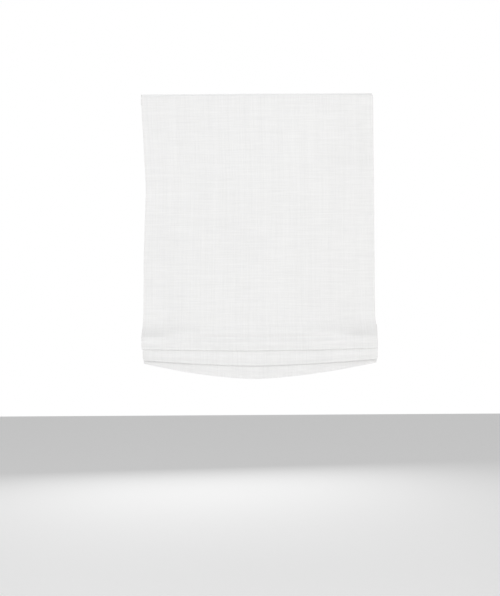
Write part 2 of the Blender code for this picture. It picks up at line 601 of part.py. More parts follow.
def build_spreader(stack):
    """The spreader bar, its tips, and the anchors that hold the ends of the lift cords."""
    def at_stack(x, y, z):
        return Vector((x, y, z)) - stack.location

    add_piece("spreader_bar", block(2 * BAR_HALF, BAR_THICKNESS, BAR_HEIGHT), ALUMINIUM,
              at_stack(0.0, BAR_Y, BAR_Z), stack)
    pocket_size = (BAR_THICKNESS + 2 * GAP, BAR_HEIGHT + 2 * GAP)
    for side, name in ((-1, "left"), (1, "right")):
        tip_outer = BAR_HALF + GAP + TIP_END_WALL
        tip = add_piece("bar_tip_" + name, block(TIP_LENGTH, SLEEVE_DEPTH, 2 * SLEEVE_HALF_HEIGHT),
                        WHITE_PLASTIC, at_stack(side * (tip_outer - TIP_LENGTH / 2), BAR_Y, BAR_Z), stack)
        pocket = add_piece("cutter_tip_pocket_" + name, block(2 * TIP_LENGTH, *pocket_size),
                           WHITE_PLASTIC, at_stack(side * (BAR_HALF + GAP - TIP_LENGTH), BAR_Y, BAR_Z),
                           stack)
        combine(tip, pocket, "DIFFERENCE")

        depth = CORD_Y + ANCHOR_BOSS_DEPTH - SKIRT_BACK
        anchor = add_piece("cord_anchor_" + name, block(ANCHOR_WIDTH, depth, 2 * SLEEVE_HALF_HEIGHT),
                           WHITE_PLASTIC, at_stack(side * LIFT_X, SKIRT_BACK + depth / 2, BAR_Z), stack)
        passage = add_piece("cutter_bar_passage_" + name, block(2 * ANCHOR_WIDTH, *pocket_size),
                            WHITE_PLASTIC, at_stack(side * LIFT_X, BAR_Y, BAR_Z), stack)
        socket = add_piece("cutter_cord_socket_" + name,
                           rod(CORD_DIAMETER / 2 + GAP, 2 * ANCHOR_HOLE_DEPTH, ROUND_SIDES, "Z"),
                           WHITE_PLASTIC, at_stack(side * LIFT_X, CORD_Y, ANCHOR_TOP), stack)
        combine(anchor, passage, "DIFFERENCE")
        combine(anchor, socket, "DIFFERENCE")


def main():
    clear_scene()
    shaft_axis = add_empty("shaft_axis", (0.0, SHAFT_Y, SHAFT_Z))
    storage_axis = add_empty("storage_axis", (0.0, STORAGE_Y, STORAGE_Z))
    stack = add_empty("gathered_stack", (0.0, CORD_Y, FIRST_FOLD_Z))
    build_rail()
    build_strips()
    build_cloth()
    build_shaft(shaft_axis)
    for side, name in ((-1, "left"), (1, "right")):
        build_end_cap(side, name)
        build_spool(side, name, shaft_axis)
        build_cradle(side, name)
        build_lift_cord(side, name)
    build_motor(shaft_axis, storage_axis)
    for row in range(1, UPPER_ROWS + 1):
        height = FIRST_RING_Z + row * UPPER_ROW_PITCH
        row_slide = add_empty("upper_row_" + str(row), (0.0, CORD_Y, height))
        build_ring_row("upper_ring_" + str(row), height, row_slide)
    build_ring_row("gathered_ring_0", FIRST_RING_Z, stack)
    for row in range(1, LAST_ROW):
        build_ring_row("gathered_ring_" + str(row), crest_at_lift_line(row), stack)
    build_spreader(stack)


main()
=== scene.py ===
"""Looks of a relaxed Roman window shade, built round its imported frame.

The face cloth is one sheet that hangs flat from the headrail, gathers into soft
folds at its rings and ends in a curved hem. Behind it are the rings, the lift
cords, the spreader bar and the spring lift in the rail. Metres, +Z up, the face
of the cloth looks along -Y.
"""

import json
import logging
import math
from dataclasses import dataclass, field
from enum import Enum
from typing import Iterable

import bmesh
import bpy
from mathutils import Euler, Matrix, Vector, noise


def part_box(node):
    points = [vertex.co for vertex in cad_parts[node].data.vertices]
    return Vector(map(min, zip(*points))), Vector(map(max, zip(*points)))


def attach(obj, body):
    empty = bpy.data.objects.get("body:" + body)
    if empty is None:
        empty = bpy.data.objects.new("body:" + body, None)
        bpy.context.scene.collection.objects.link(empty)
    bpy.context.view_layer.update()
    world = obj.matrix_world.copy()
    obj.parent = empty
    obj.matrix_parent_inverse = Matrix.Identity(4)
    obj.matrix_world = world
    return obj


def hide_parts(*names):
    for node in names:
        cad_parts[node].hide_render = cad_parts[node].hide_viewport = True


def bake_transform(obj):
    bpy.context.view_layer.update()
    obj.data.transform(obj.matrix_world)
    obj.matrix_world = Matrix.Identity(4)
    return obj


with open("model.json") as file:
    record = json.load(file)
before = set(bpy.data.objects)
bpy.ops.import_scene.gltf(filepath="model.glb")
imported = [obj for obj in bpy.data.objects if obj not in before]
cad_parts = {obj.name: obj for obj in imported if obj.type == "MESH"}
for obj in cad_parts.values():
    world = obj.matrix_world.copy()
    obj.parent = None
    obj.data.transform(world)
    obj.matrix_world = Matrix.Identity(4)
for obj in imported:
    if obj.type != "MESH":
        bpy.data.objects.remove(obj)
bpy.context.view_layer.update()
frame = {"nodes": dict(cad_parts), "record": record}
LOG = logging.getLogger("window_shade")

BMesh = bmesh.types.BMesh
Material = bpy.types.Material
Piece = bpy.types.Object
Socket = bpy.types.NodeSocket
Curve = tuple[tuple[float, float], ...]
Triple = tuple[float, float, float]
Span = tuple[float, float]

IMAGE_WIDTH = 500
IMAGE_HEIGHT = 596
SENSOR_MM = 36.0
MERGE_DISTANCE = 0.000001
SMOOTH_ANGLE = math.radians(40.0)
PATTERN_SHIFT = (1.0, 0.7, 0.3)
NOISE_ROUGHNESS = 0.55
CLOTH_UV = "cloth_uv"
BRAID_UV = "braid_uv"
HEM_GROUP = "hem_thickness"
SIDES = (("left", -1), ("right", 1))


class Body(Enum):
    """Bodies of the frame that the pieces ride on."""

    RAIL = "rail"
    SHAFT = "lift_shaft"
    STACK = "gathered_stack"


class Tone(Enum):
    """Colours of the finishes, as linear red, green and blue."""

    LINEN = (0.79, 0.787, 0.785)
    ENAMEL = (0.78, 0.782, 0.78)
    WHITE_PLASTIC = (0.76, 0.76, 0.745)
    GREY_PLASTIC = (0.52, 0.53, 0.54)
    RING = (0.8, 0.8, 0.78)
    TAPE = (0.7, 0.7, 0.69)
    CORD = (0.78, 0.78, 0.755)
    THREAD = (0.72, 0.715, 0.69)
    STEEL = (0.56, 0.56, 0.57)
    SPRING = (0.36, 0.39, 0.45)
    ALUMINIUM = (0.74, 0.75, 0.76)
    FLOOR = (0.975, 0.975, 0.975)


class NodeSheet:
    """A hand for laying out one material's nodes."""

    def __init__(self, name: str) -> None:
        """Start a material with its Principled shader.

        Args:
            name: the material's name.
        """
        self.material = bpy.data.materials.new(name)
        self.material.use_nodes = True
        self.tree = self.material.node_tree
        self.shader = self.tree.nodes["Principled BSDF"]

    def join(self, source: object, target: Socket) -> None:
        """Link a socket to another, or set a constant on it.

        Args:
            source: an output socket, a number or a colour.
            target: the input socket.
        """
        if isinstance(source, Socket):
            self.tree.links.new(source, target)
        else:
            target.default_value = source

    def feed(self, node: bpy.types.Node, **sockets: object) -> None:
        """Join what is given to a node's sockets, named with underscores for spaces."""
        for name, source in sockets.items():
            self.join(source, node.inputs[name.replace("_", " ")])

    def add(self, kind: str, **sockets: object) -> bpy.types.Node:
        """Add a node.

        Args:
            kind: the node's type name.
            sockets: what goes into its sockets.

        Returns:
            The new node.
        """
        node = self.tree.nodes.new(kind)
        self.feed(node, **sockets)
        return node

    def math(self, operation: str, *values: object) -> Socket:
        """Work out one number from others.

        Args:
            operation: the Math node's operation.
            values: output sockets or numbers.

        Returns:
            The result's socket.
        """
        node = self.add("ShaderNodeMath")
        node.operation = operation
        for value, target in zip(values, node.inputs):
            self.join(value, target)
        return node.outputs[0]

    def on_object(self) -> Socket:
        """Coordinates of the object, in metres."""
        return self.add("ShaderNodeTexCoord").outputs["Object"]

    def on_map(self, uv_map: str) -> list[Socket]:
        """Coordinates of a UV map.

        Args:
            uv_map: its name.

        Returns:
            The vector, its X and its Y.
        """
        node = self.add("ShaderNodeUVMap")
        node.uv_map = uv_map
        split = self.add("ShaderNodeSeparateXYZ", Vector=node.outputs["UV"])
        return [node.outputs["UV"], split.outputs["X"], split.outputs["Y"]]

    def clouds(self, vector: Socket, scale: Triple, offset: float, detail: float = 2.0) -> Socket:
        """Noise about 0.5 along stretched coordinates.

        Args:
            vector: the coordinates.
            scale: features a metre along each axis.
            offset: moves the pattern, so that two patterns differ.
            detail: octaves of finer noise.

        Returns:
            A number socket.
        """
        mapping = self.add("ShaderNodeMapping", Vector=vector, Scale=scale,
                           Location=[offset * share for share in PATTERN_SHIFT])
        cloud = self.add("ShaderNodeTexNoise", Vector=mapping.outputs["Vector"], Scale=1.0,
                         Detail=detail, Roughness=NOISE_ROUGHNESS)
        return cloud.outputs["Fac"]

    def weighted(self, parts: Iterable[tuple[Socket, float]], start: float) -> Socket:
        """Add noises about 0.5, each times its own weight.

        Args:
            parts: pairs of a socket and a weight.
            start: the sum where every noise is 0.5.

        Returns:
            A number socket.
        """
        total: object = start
        for socket, weight in parts:
            centred = self.math("SUBTRACT", socket, 0.5)
            total = self.math("MULTIPLY_ADD", centred, weight, total)
        return total

    def tint(self, tone: Tone, amount: Socket) -> None:
        """Multiply the base colour by a number that varies over the surface.

        Args:
            tone: the colour where the number is 1.
            amount: the number.
        """
        grey = self.add("ShaderNodeCombineColor")
        for channel, value in zip(grey.inputs, tone.value):
            self.join(self.math("MULTIPLY", amount, value), channel)
        self.feed(self.shader, Base_Color=grey.outputs["Color"])

    def raise_by(self, height: Socket, distance: float, strength: float) -> None:
        """Give the surface a bump of a height, times a distance in metres and a strength."""
        bump = self.add("ShaderNodeBump", Distance=distance, Strength=strength, Height=height)
        self.feed(self.shader, Normal=bump.outputs["Normal"])


@dataclass(frozen=True)
class LinenFinish:
    """A plain linen-look weave with slubs both ways, and a hem line on its back."""

    name: str
    tone: Tone
    stitched: bool = False
    thread_pitch: float = 0.0009
    thread_runs: float = 22.0
    fine_tone: float = 0.125
    slub_tone: float = 0.11
    slow_tone: float = 0.03
    slow_scale: Triple = (6.0, 4.0, 1.0)
    fleck_tone: float = 0.30
    fleck_cut: float = 0.70
    weft_fleck_scale: Triple = (30.0, 420.0, 1.0)
    warp_fleck_scale: Triple = (420.0, 14.0, 1.0)
    slub_width: float = 0.0045
    warp_slub_length: float = 0.34
    weft_slub_length: float = 0.13
    slub_height: float = 0.8
    bump_depth: float = 0.00016
    hem_inset: float = 0.038
    hem_height: float = 0.055
    stitch_pitch: float = 0.0045
    stitch_width: float = 0.0011
    stitch_share: float = 0.72
    stitch_tone: float = -0.16
    stitch_height: float = -2.0
    half_width: float = 0.438
    length: float = 1.83

    def build(self) -> Material:
        """Make the material.

        Returns:
            The material, which reads the cloth's UV map in metres.
        """
        sheet = NodeSheet(self.name)
        sheet.feed(sheet.shader, Roughness=0.88, Sheen_Weight=0.12, Sheen_Roughness=0.5,
                   Specular_IOR_Level=0.25)
        place, across, along = sheet.on_map(CLOTH_UV)
        fine, wide = 1 / self.thread_pitch, 1 / self.slub_width
        warp = sheet.clouds(place, (fine, self.thread_runs, 1.0), 3.1)
        weft = sheet.clouds(place, (self.thread_runs, fine, 1.0), 8.4)
        warp_slub = sheet.clouds(place, (wide, 1 / self.warp_slub_length, 1.0), 1.7, 3.0)
        weft_slub = sheet.clouds(place, (1 / self.weft_slub_length, wide, 1.0), 5.2, 3.0)
        flecks = sheet.math("MAXIMUM", sheet.clouds(place, self.weft_fleck_scale, 12.3, 1.0),
                            sheet.clouds(place, self.warp_fleck_scale, 17.9, 1.0))
        fleck = sheet.math("MAXIMUM", sheet.math("SUBTRACT", flecks, self.fleck_cut), 0.0)
        slow = sheet.clouds(place, self.slow_scale, 9.0, 1.0)
        amount = sheet.weighted(((warp, self.fine_tone), (weft, self.fine_tone),
                                 (warp_slub, self.slub_tone), (weft_slub, self.slub_tone),
                                 (slow, self.slow_tone)), 1.0)
        amount = sheet.math("MULTIPLY_ADD", fleck, self.fleck_tone, amount)
        height = sheet.weighted(((warp, 1.0), (weft, 1.0), (warp_slub, self.slub_height),
                                 (weft_slub, self.slub_height)), 0.5)
        if self.stitched:
            line = self.hem_line(sheet, across, along)
            amount = sheet.math("MULTIPLY_ADD", line, self.stitch_tone, amount)
            height = sheet.math("MULTIPLY_ADD", line, self.stitch_height, height)
        sheet.tint(self.tone, amount)
        sheet.raise_by(height, self.bump_depth, 0.7)
        return sheet.material

    def hem_line(self, sheet: NodeSheet, across: Socket, along: Socket) -> Socket:
        """The rows of stitches that hold the side hems and the bottom hem.

        Args:
            sheet: the material's nodes.
            across: metres from the cloth's middle line.
            along: metres from its top edge.

        Returns:
            A number socket, 1 on a stitch and 0 elsewhere.
        """
        half = self.stitch_width / 2
        from_middle = sheet.math("ABSOLUTE", across)
        side = sheet.math("COMPARE", from_middle, self.half_width - self.hem_inset, half)
        bottom = sheet.math("COMPARE", along, self.length - self.hem_height, half)
        rows = []
        for line, run in ((side, along), (bottom, across)):
            turn = sheet.math("FRACT", sheet.math("MULTIPLY", run, 1 / self.stitch_pitch))
            stitch = sheet.math("LESS_THAN", turn, self.stitch_share)
            rows.append(sheet.math("MULTIPLY", line, stitch))
        return sheet.math("MAXIMUM", *rows)


@dataclass(frozen=True)
class Pattern:
    """Clouds of a finish: features a metre, offset, and weight in the tone."""

    scale: Triple
    offset: float
    weight: float


@dataclass(frozen=True)
class SolidFinish:
    """A finish with a fine pattern, which is its relief too, and a slow one."""

    name: str
    tone: Tone
    roughness: float
    fine: Pattern
    slow: Pattern
    relief: float
    strength: float = 0.5

    def gloss(self) -> dict[str, object]:
        """Sockets that the finish sets besides its roughness."""
        return {}

    def build(self) -> Material:
        """Make the material.

        Returns:
            The material, which reads the object's coordinates.
        """
        sheet = NodeSheet(self.name)
        sheet.feed(sheet.shader, Roughness=self.roughness, **self.gloss())
        place = sheet.on_object()
        marks = [(sheet.clouds(place, pattern.scale, pattern.offset), pattern.weight)
                 for pattern in (self.fine, self.slow)]
        sheet.tint(self.tone, sheet.weighted(marks, 1.0))
        sheet.raise_by(marks[0][0], self.relief, self.strength)
        return sheet.material


@dataclass(frozen=True)
class EnamelFinish(SolidFinish):
    """Baked enamel with a faint orange peel."""

    roughness: float = 0.34
    fine: Pattern = Pattern((420.0, 420.0, 420.0), 2.0, 0.03)
    slow: Pattern = Pattern((9.0, 30.0, 30.0), 6.0, 0.05)
    relief: float = 0.00006

    def gloss(self) -> dict[str, object]:
        """A thin clear coat."""
        return {"Coat_Weight": 0.25, "Coat_Roughness": 0.25}


@dataclass(frozen=True)
class PlasticFinish(SolidFinish):
    """Moulded plastic with a fine eroded grain."""

    roughness: float = 0.46
    fine: Pattern = Pattern((1400.0, 1400.0, 1400.0), 4.0, 0.06)
    slow: Pattern = Pattern((60.0, 60.0, 25.0), 7.0, 0.07)
    relief: float = 0.00004
    strength: float = 0.6
    clear: float = 0.0
    clear_reach: Triple = (0.002, 0.002, 0.0016)

    def gloss(self) -> dict[str, object]:
        """How far light goes into it."""
        return {"Subsurface_Weight": self.clear, "Subsurface_Radius": self.clear_reach}


@dataclass(frozen=True)
class MetalFinish(SolidFinish):
    """Drawn or rolled bare metal, with its lines along X."""

    roughness: float = 0.32
    fine: Pattern = Pattern((4.0, 2500.0, 2500.0), 3.0, 0.16)
    slow: Pattern = Pattern((14.0, 90.0, 90.0), 8.0, 0.12)
    relief: float = 0.00003

    def gloss(self) -> dict[str, object]:
        """Bare metal all over."""
        return {"Metallic": 1.0}


@dataclass(frozen=True)
class TapeFinish:
    """Fastener tape: a woven ground under hooks or loops."""

    name: str
    tone: Tone
    pile_pitch: float = 0.0016
    pile_tone: float = -0.25
    pile_depth: float = 0.0005
    fuzz: Pattern = Pattern((900.0, 900.0, 900.0), 5.0, 0.2)
    ground: float = 0.97

    def build(self) -> Material:
        """Make the material.

        Returns:
            The material, which reads the object's coordinates.
        """
        sheet = NodeSheet(self.name)
        sheet.feed(sheet.shader, Roughness=0.92, Sheen_Weight=0.3)
        place = sheet.on_object()
        cells = sheet.add("ShaderNodeTexVoronoi", Vector=place, Scale=1 / self.pile_pitch)
        pile = cells.outputs["Distance"]
        fuzz = sheet.clouds(place, self.fuzz.scale, self.fuzz.offset)
        marks = ((pile, self.pile_tone), (fuzz, self.fuzz.weight))
        sheet.tint(self.tone, sheet.weighted(marks, self.ground))
        sheet.raise_by(pile, self.pile_depth, 0.8)
        return sheet.material


@dataclass(frozen=True)
class BraidFinish:
    """A fine round braid: two sets of strands that wind opposite ways, with painted shade in the
    grooves between them.
    """

    name: str
    tone: Tone
    diameter: float = 0.0014
    pick_pitch: float = 0.0016
    strands: int = 4
    painted_groove_shade: float = 0.90
    painted_crown_rise: float = 0.14
    relief: float = 0.09

    def build(self) -> Material:
        """Make the material.

        Returns:
            The material, which reads the turns round the cord and the metres along it.
        """
        sheet = NodeSheet(self.name)
        sheet.feed(sheet.shader, Roughness=0.75, Sheen_Weight=0.15)
        _, around, along = sheet.on_map(BRAID_UV)
        picks = sheet.math("MULTIPLY", along, math.tau / self.pick_pitch)
        turns = sheet.math("MULTIPLY", around, math.tau * self.strands)
        waves = [sheet.math("SINE", sheet.math(operation, picks, turns))
                 for operation in ("ADD", "SUBTRACT")]
        weave = sheet.math("MULTIPLY_ADD", sheet.math("MAXIMUM", *waves), 0.5, 0.5)
        # The tone rises with the strands' height: painted shade in the grooves between strands
        # and a painted highlight on their crowns.
        amount = sheet.math("MULTIPLY_ADD", weave, self.painted_crown_rise, self.painted_groove_shade)
        sheet.tint(self.tone, amount)
        sheet.raise_by(weave, self.diameter * self.relief, 0.8)
        return sheet.material


@dataclass(frozen=True)
class FloorFinish:
    """A plain pale matt floor with a faint mottle."""

    name: str
    tone: Tone
    mottle: Pattern = Pattern((0.8, 0.8, 0.8), 2.0, 0.006)

    def build(self) -> Material:
        """Make the material.

        Returns:
            The material, which reads the object's coordinates.
        """
        sheet = NodeSheet(self.name)
        sheet.feed(sheet.shader, Roughness=0.95, Specular_IOR_Level=0.1)
        mottle = sheet.clouds(sheet.on_object(), self.mottle.scale, self.mottle.offset)
        sheet.tint(self.tone, sheet.weighted(((mottle, self.mottle.weight),), 1.0))
        return sheet.material


class Finishes:
    """Every finish of the shade, made once."""

    def __init__(self) -> None:
        """Make the materials, by the record's slot names where they have one."""
        self.linen = LinenFinish("linen", Tone.LINEN).build()
        self.linen_back = LinenFinish("linen_back", Tone.LINEN, stitched=True).build()
        self.thread = PlasticFinish("sewing_thread", Tone.THREAD, 0.8).build()
        self.by_slot = {
            "linen": self.linen,
            "white_enamel": EnamelFinish("white_enamel", Tone.ENAMEL).build(),
            "white_plastic": PlasticFinish("white_plastic", Tone.WHITE_PLASTIC).build(),
            "grey_plastic": PlasticFinish("grey_plastic", Tone.GREY_PLASTIC, 0.5).build(),
            "ring_plastic": PlasticFinish("ring_plastic", Tone.RING, 0.22, clear=0.3).build(),
            "fastener_tape": TapeFinish("fastener_tape", Tone.TAPE).build(),
            "lift_cord": BraidFinish("lift_cord", Tone.CORD).build(),
            "steel": MetalFinish("steel", Tone.STEEL).build(),
            "spring_steel": MetalFinish("spring_steel", Tone.SPRING, 0.26).build(),
            "aluminium": MetalFinish("aluminium", Tone.ALUMINIUM, 0.38).build(),
        }

    def dress_frame(self) -> None:
        """Give every node of the frame its slot's finish."""
        for entry in frame["record"]["subparts"]:
            node = frame["nodes"][entry["node"]]
            node.data.materials.clear()
            node.data.materials.append(self.by_slot[entry["material_slot"]])
            LOG.info("dressed %s in %s", entry["node"], entry["material_slot"])


def make_piece(name: str, bm: BMesh, material: Material, body: str = "") -> Piece:
    """Turn a bmesh into a smooth-shaded piece, with its place in its mesh.

    Args:
        name: the piece's name.
        bm: the shape, which is freed.
        material: its finish.
        body: the body that it rides on, or nothing for a piece that is left on no body.

    Returns:
        The piece.
    """
    mesh = bpy.data.meshes.new(name)
    bm.to_mesh(mesh)
    bm.free()
    mesh.materials.append(material)
    mesh.shade_smooth()
    mesh.set_sharp_from_angle(angle=SMOOTH_ANGLE)
    piece = bpy.data.objects.new(name, mesh)
    bpy.context.scene.collection.objects.link(piece)
    if body:
        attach(piece, body)
    LOG.info("%s: %d faces, body %s", name, len(mesh.polygons), body or "not one alone")
    return piece


def extent(node: str) -> tuple[Vector, Vector]:
    """Middle and size of a frame node's box at rest."""
    low, high = (Vector(corner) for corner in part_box(node))
    return (low + high) / 2, high - low


def edges_of(made: dict) -> list[bmesh.types.BMEdge]:
    """Edges at the points that an operator made, in a fixed order."""
    return list(dict.fromkeys(line for vert in made["verts"] for line in vert.link_edges))


def add_block(bm: BMesh, centre: Vector, size: Vector, edge: float) -> None:
    """Add a box with rounded edges.

    Args:
        bm: the shape to add to.
        centre: the box's middle.
        size: its lengths.
        edge: radius of its edges.
    """
    matrix = Matrix.Translation(centre) @ Matrix.Diagonal((*size, 1.0))
    made = bmesh.ops.create_cube(bm, size=1.0, matrix=matrix)
    bmesh.ops.bevel(bm, geom=edges_of(made), offset=edge, segments=3, profile=0.5, affect="EDGES",
                    material=-1)


def add_torus(bm: BMesh, centre: Vector, radius: float, wire: float, axis: Vector,
              turns: int = 36, sides: int = 12) -> None:
    """Add a round ring.

    Args:
        bm: the shape to add to.
        centre: the ring's middle.
        radius: from its middle to the middle of its wire.
        wire: radius of its wire.
        axis: the direction that it goes round.
        turns: facets round the ring.
        sides: facets round the wire.
    """
    turn = axis.to_track_quat("Z", "X").to_matrix().to_4x4()
    section = Matrix.Translation(centre) @ turn @ Matrix.Translation((radius, 0.0, 0.0)) \
        @ Matrix.Rotation(math.pi / 2, 4, "X")
    made = bmesh.ops.create_circle(bm, segments=sides, radius=wire, matrix=section)
    bmesh.ops.spin(bm, geom=made["verts"] + edges_of(made), axis=axis, cent=centre,
                   angle=math.tau, steps=turns, use_merge=True)


def turned(outline: list[Span], centre: Vector, sides: int = 64) -> BMesh:
    """Turn an outline round a line along X, into a bored ring.

    Args:
        outline: (along X, radius) points, which are closed into a loop.
        centre: a point on the line.
        sides: facets round it.

    Returns:
        The closed shape.
    """
    bm = bmesh.new()
    points = [bm.verts.new(centre + Vector((along, 0.0, radius))) for along, radius in outline]
    edges = [bm.edges.new(pair) for pair in zip(points, points[1:])]
    edges.append(bm.edges.new((points[-1], points[0])))
    bmesh.ops.spin(bm, geom=points + edges, axis=(1.0, 0.0, 0.0), cent=centre, angle=math.tau,
                   steps=sides, use_merge=True)
    bmesh.ops.remove_doubles(bm, verts=bm.verts, dist=MERGE_DISTANCE)
    bmesh.ops.recalc_face_normals(bm, faces=bm.faces)
    return bm


def smooth_curve(knots: Curve, at: float) -> float:
    """Read a smooth curve through a few knots.

    Args:
        knots: (place, value) pairs in rising order.
        at: the place to read.

    Returns:
        The value there, held level past both ends.
    """
    if at <= knots[0][0]:
        return knots[0][1]
    if at >= knots[-1][0]:
        return knots[-1][1]
    index = max(i for i, knot in enumerate(knots) if knot[0] <= at)
    before, after = max(index - 1, 0), min(index + 2, len(knots) - 1)
    (x0, y0), (x1, y1) = knots[index], knots[index + 1]
    slope0 = (y1 - knots[before][1]) / (x1 - knots[before][0])
    slope1 = (knots[after][1] - y0) / (knots[after][0] - x0)
    step = x1 - x0
    t = (at - x0) / step
    return (y0 * (2 * t ** 3 - 3 * t ** 2 + 1) + slope0 * step * (t ** 3 - 2 * t ** 2 + t)
            + y1 * (3 * t ** 2 - 2 * t ** 3) + slope1 * step * (t ** 3 - t ** 2))


def fade(low: float, high: float, at: float) -> float:
    """Rise smoothly from 0 at low to 1 at high."""
    t = min(1.0, max(0.0, (at - low) / (high - low)))
    return t * t * (3 - 2 * t)


def unevenness(x: float, arc: float, scale: Span, seed: float) -> float:
    """Slow noise over the cloth, about -0.5 to 0.5."""
    return noise.noise(Vector((x * scale[0], arc * scale[1], seed)))


@dataclass
class ClothSection:
    """The cloth's section from its top edge to its hem, as the frame's cloth has it."""

    top: float = 0.007
    panel_drop: float = 0.854
    fold_drops: tuple[float, ...] = (0.098, 0.139, 0.122, 0.112)
    fold_radii: tuple[float, ...] = (0.0055, 0.0055, 0.0045, 0.004)
    fold_space: float = 0.002
    skirt_space: float = 0.004
    skirt_drop: float = 0.153
    fold_slope: float = 0.9
    fold_pitch: float = 0.012
    crest_height: float = 0.008
    panel_bend_radius: float = 0.075
    shoulder_radius: float = 0.016
    bend_step: float = math.radians(9.0)
    straight_step: float = 0.0065

    @property
    def first_fold(self) -> float:
        """Height where the panel turns forward into the first fold."""
        return -self.top - self.panel_drop

    def depths(self) -> list[Span]:
        """Work out how far forward each fold's legs are.

        Returns:
            (front leg, back leg) pairs, front fold first.
        """
        depths = []
        back = self.skirt_space
        for radius in reversed(self.fold_radii):
            depths.append((back + 2 * radius, back))
            back += 2 * radius + self.fold_space
        return depths[::-1]

    def corners(self) -> list[Triple]:
        """Lay out the section's corners.

        Returns:
            (forward, height, radius of the bend) at each corner.
        """
        half_crest = self.crest_height / 2
        crest_radius = half_crest * math.tan((math.pi / 2 - math.atan(self.fold_slope)) / 2)
        corners = [(0.0, -self.top, 0.0), (0.0, self.first_fold, self.panel_bend_radius)]
        start = self.first_fold
        folds = list(zip(self.depths(), self.fold_drops, self.fold_radii))
        for row, ((front, back), drop, radius) in enumerate(folds, start=1):
            bottom = self.first_fold - drop
            crest = self.first_fold - row * self.fold_pitch
            shoulder = self.shoulder_radius if row == 1 else self.shoulder_radius / 2
            corners += [
                (front, start - self.fold_slope * front, shoulder),
                (front, bottom, radius),
                (back, bottom, radius),
                (back, crest + half_crest - self.fold_slope * back,
                 min(self.shoulder_radius / 2, back)),
                (0.0, crest + half_crest, crest_radius)]
            start = crest - half_crest
            if row < len(folds):
                corners.append((0.0, start, crest_radius))
        corners.append((0.0, self.first_fold - self.skirt_drop, 0.0))
        return corners

    def path(self) -> list[Triple]:
        """Points along the section.

        Returns:
            (forward, height, arc length) points, close together in the bends.
        """
        corners = self.corners()
        places = [Vector(corner[:2]) for corner in corners]
        bends = [places[0]]
        for before, place, after, corner in zip(places, places[1:], places[2:], corners[1:]):
            incoming, outgoing = (place - before).normalized(), (after - place).normalized()
            angle, radius = incoming.angle(outgoing), corner[2]
            side = (outgoing - incoming * outgoing.dot(incoming)).normalized()
            centre = place - incoming * radius * math.tan(angle / 2) + side * radius
            steps = max(2, math.ceil(angle / self.bend_step))
            for step in range(steps + 1):
                turn = angle * step / steps
                bends.append(centre - side * radius * math.cos(turn)
                             + incoming * radius * math.sin(turn))
        bends.append(places[-1])
        path = [(*bends[0], 0.0)]
        for start, end in zip(bends, bends[1:]):
            length = (end - start).length
            if length < MERGE_DISTANCE:
                continue
            steps = max(1, math.ceil(length / self.straight_step))
            for step in range(1, steps + 1):
                path.append((*start.lerp(end, step / steps), path[-1][2] + length / steps))
        return path


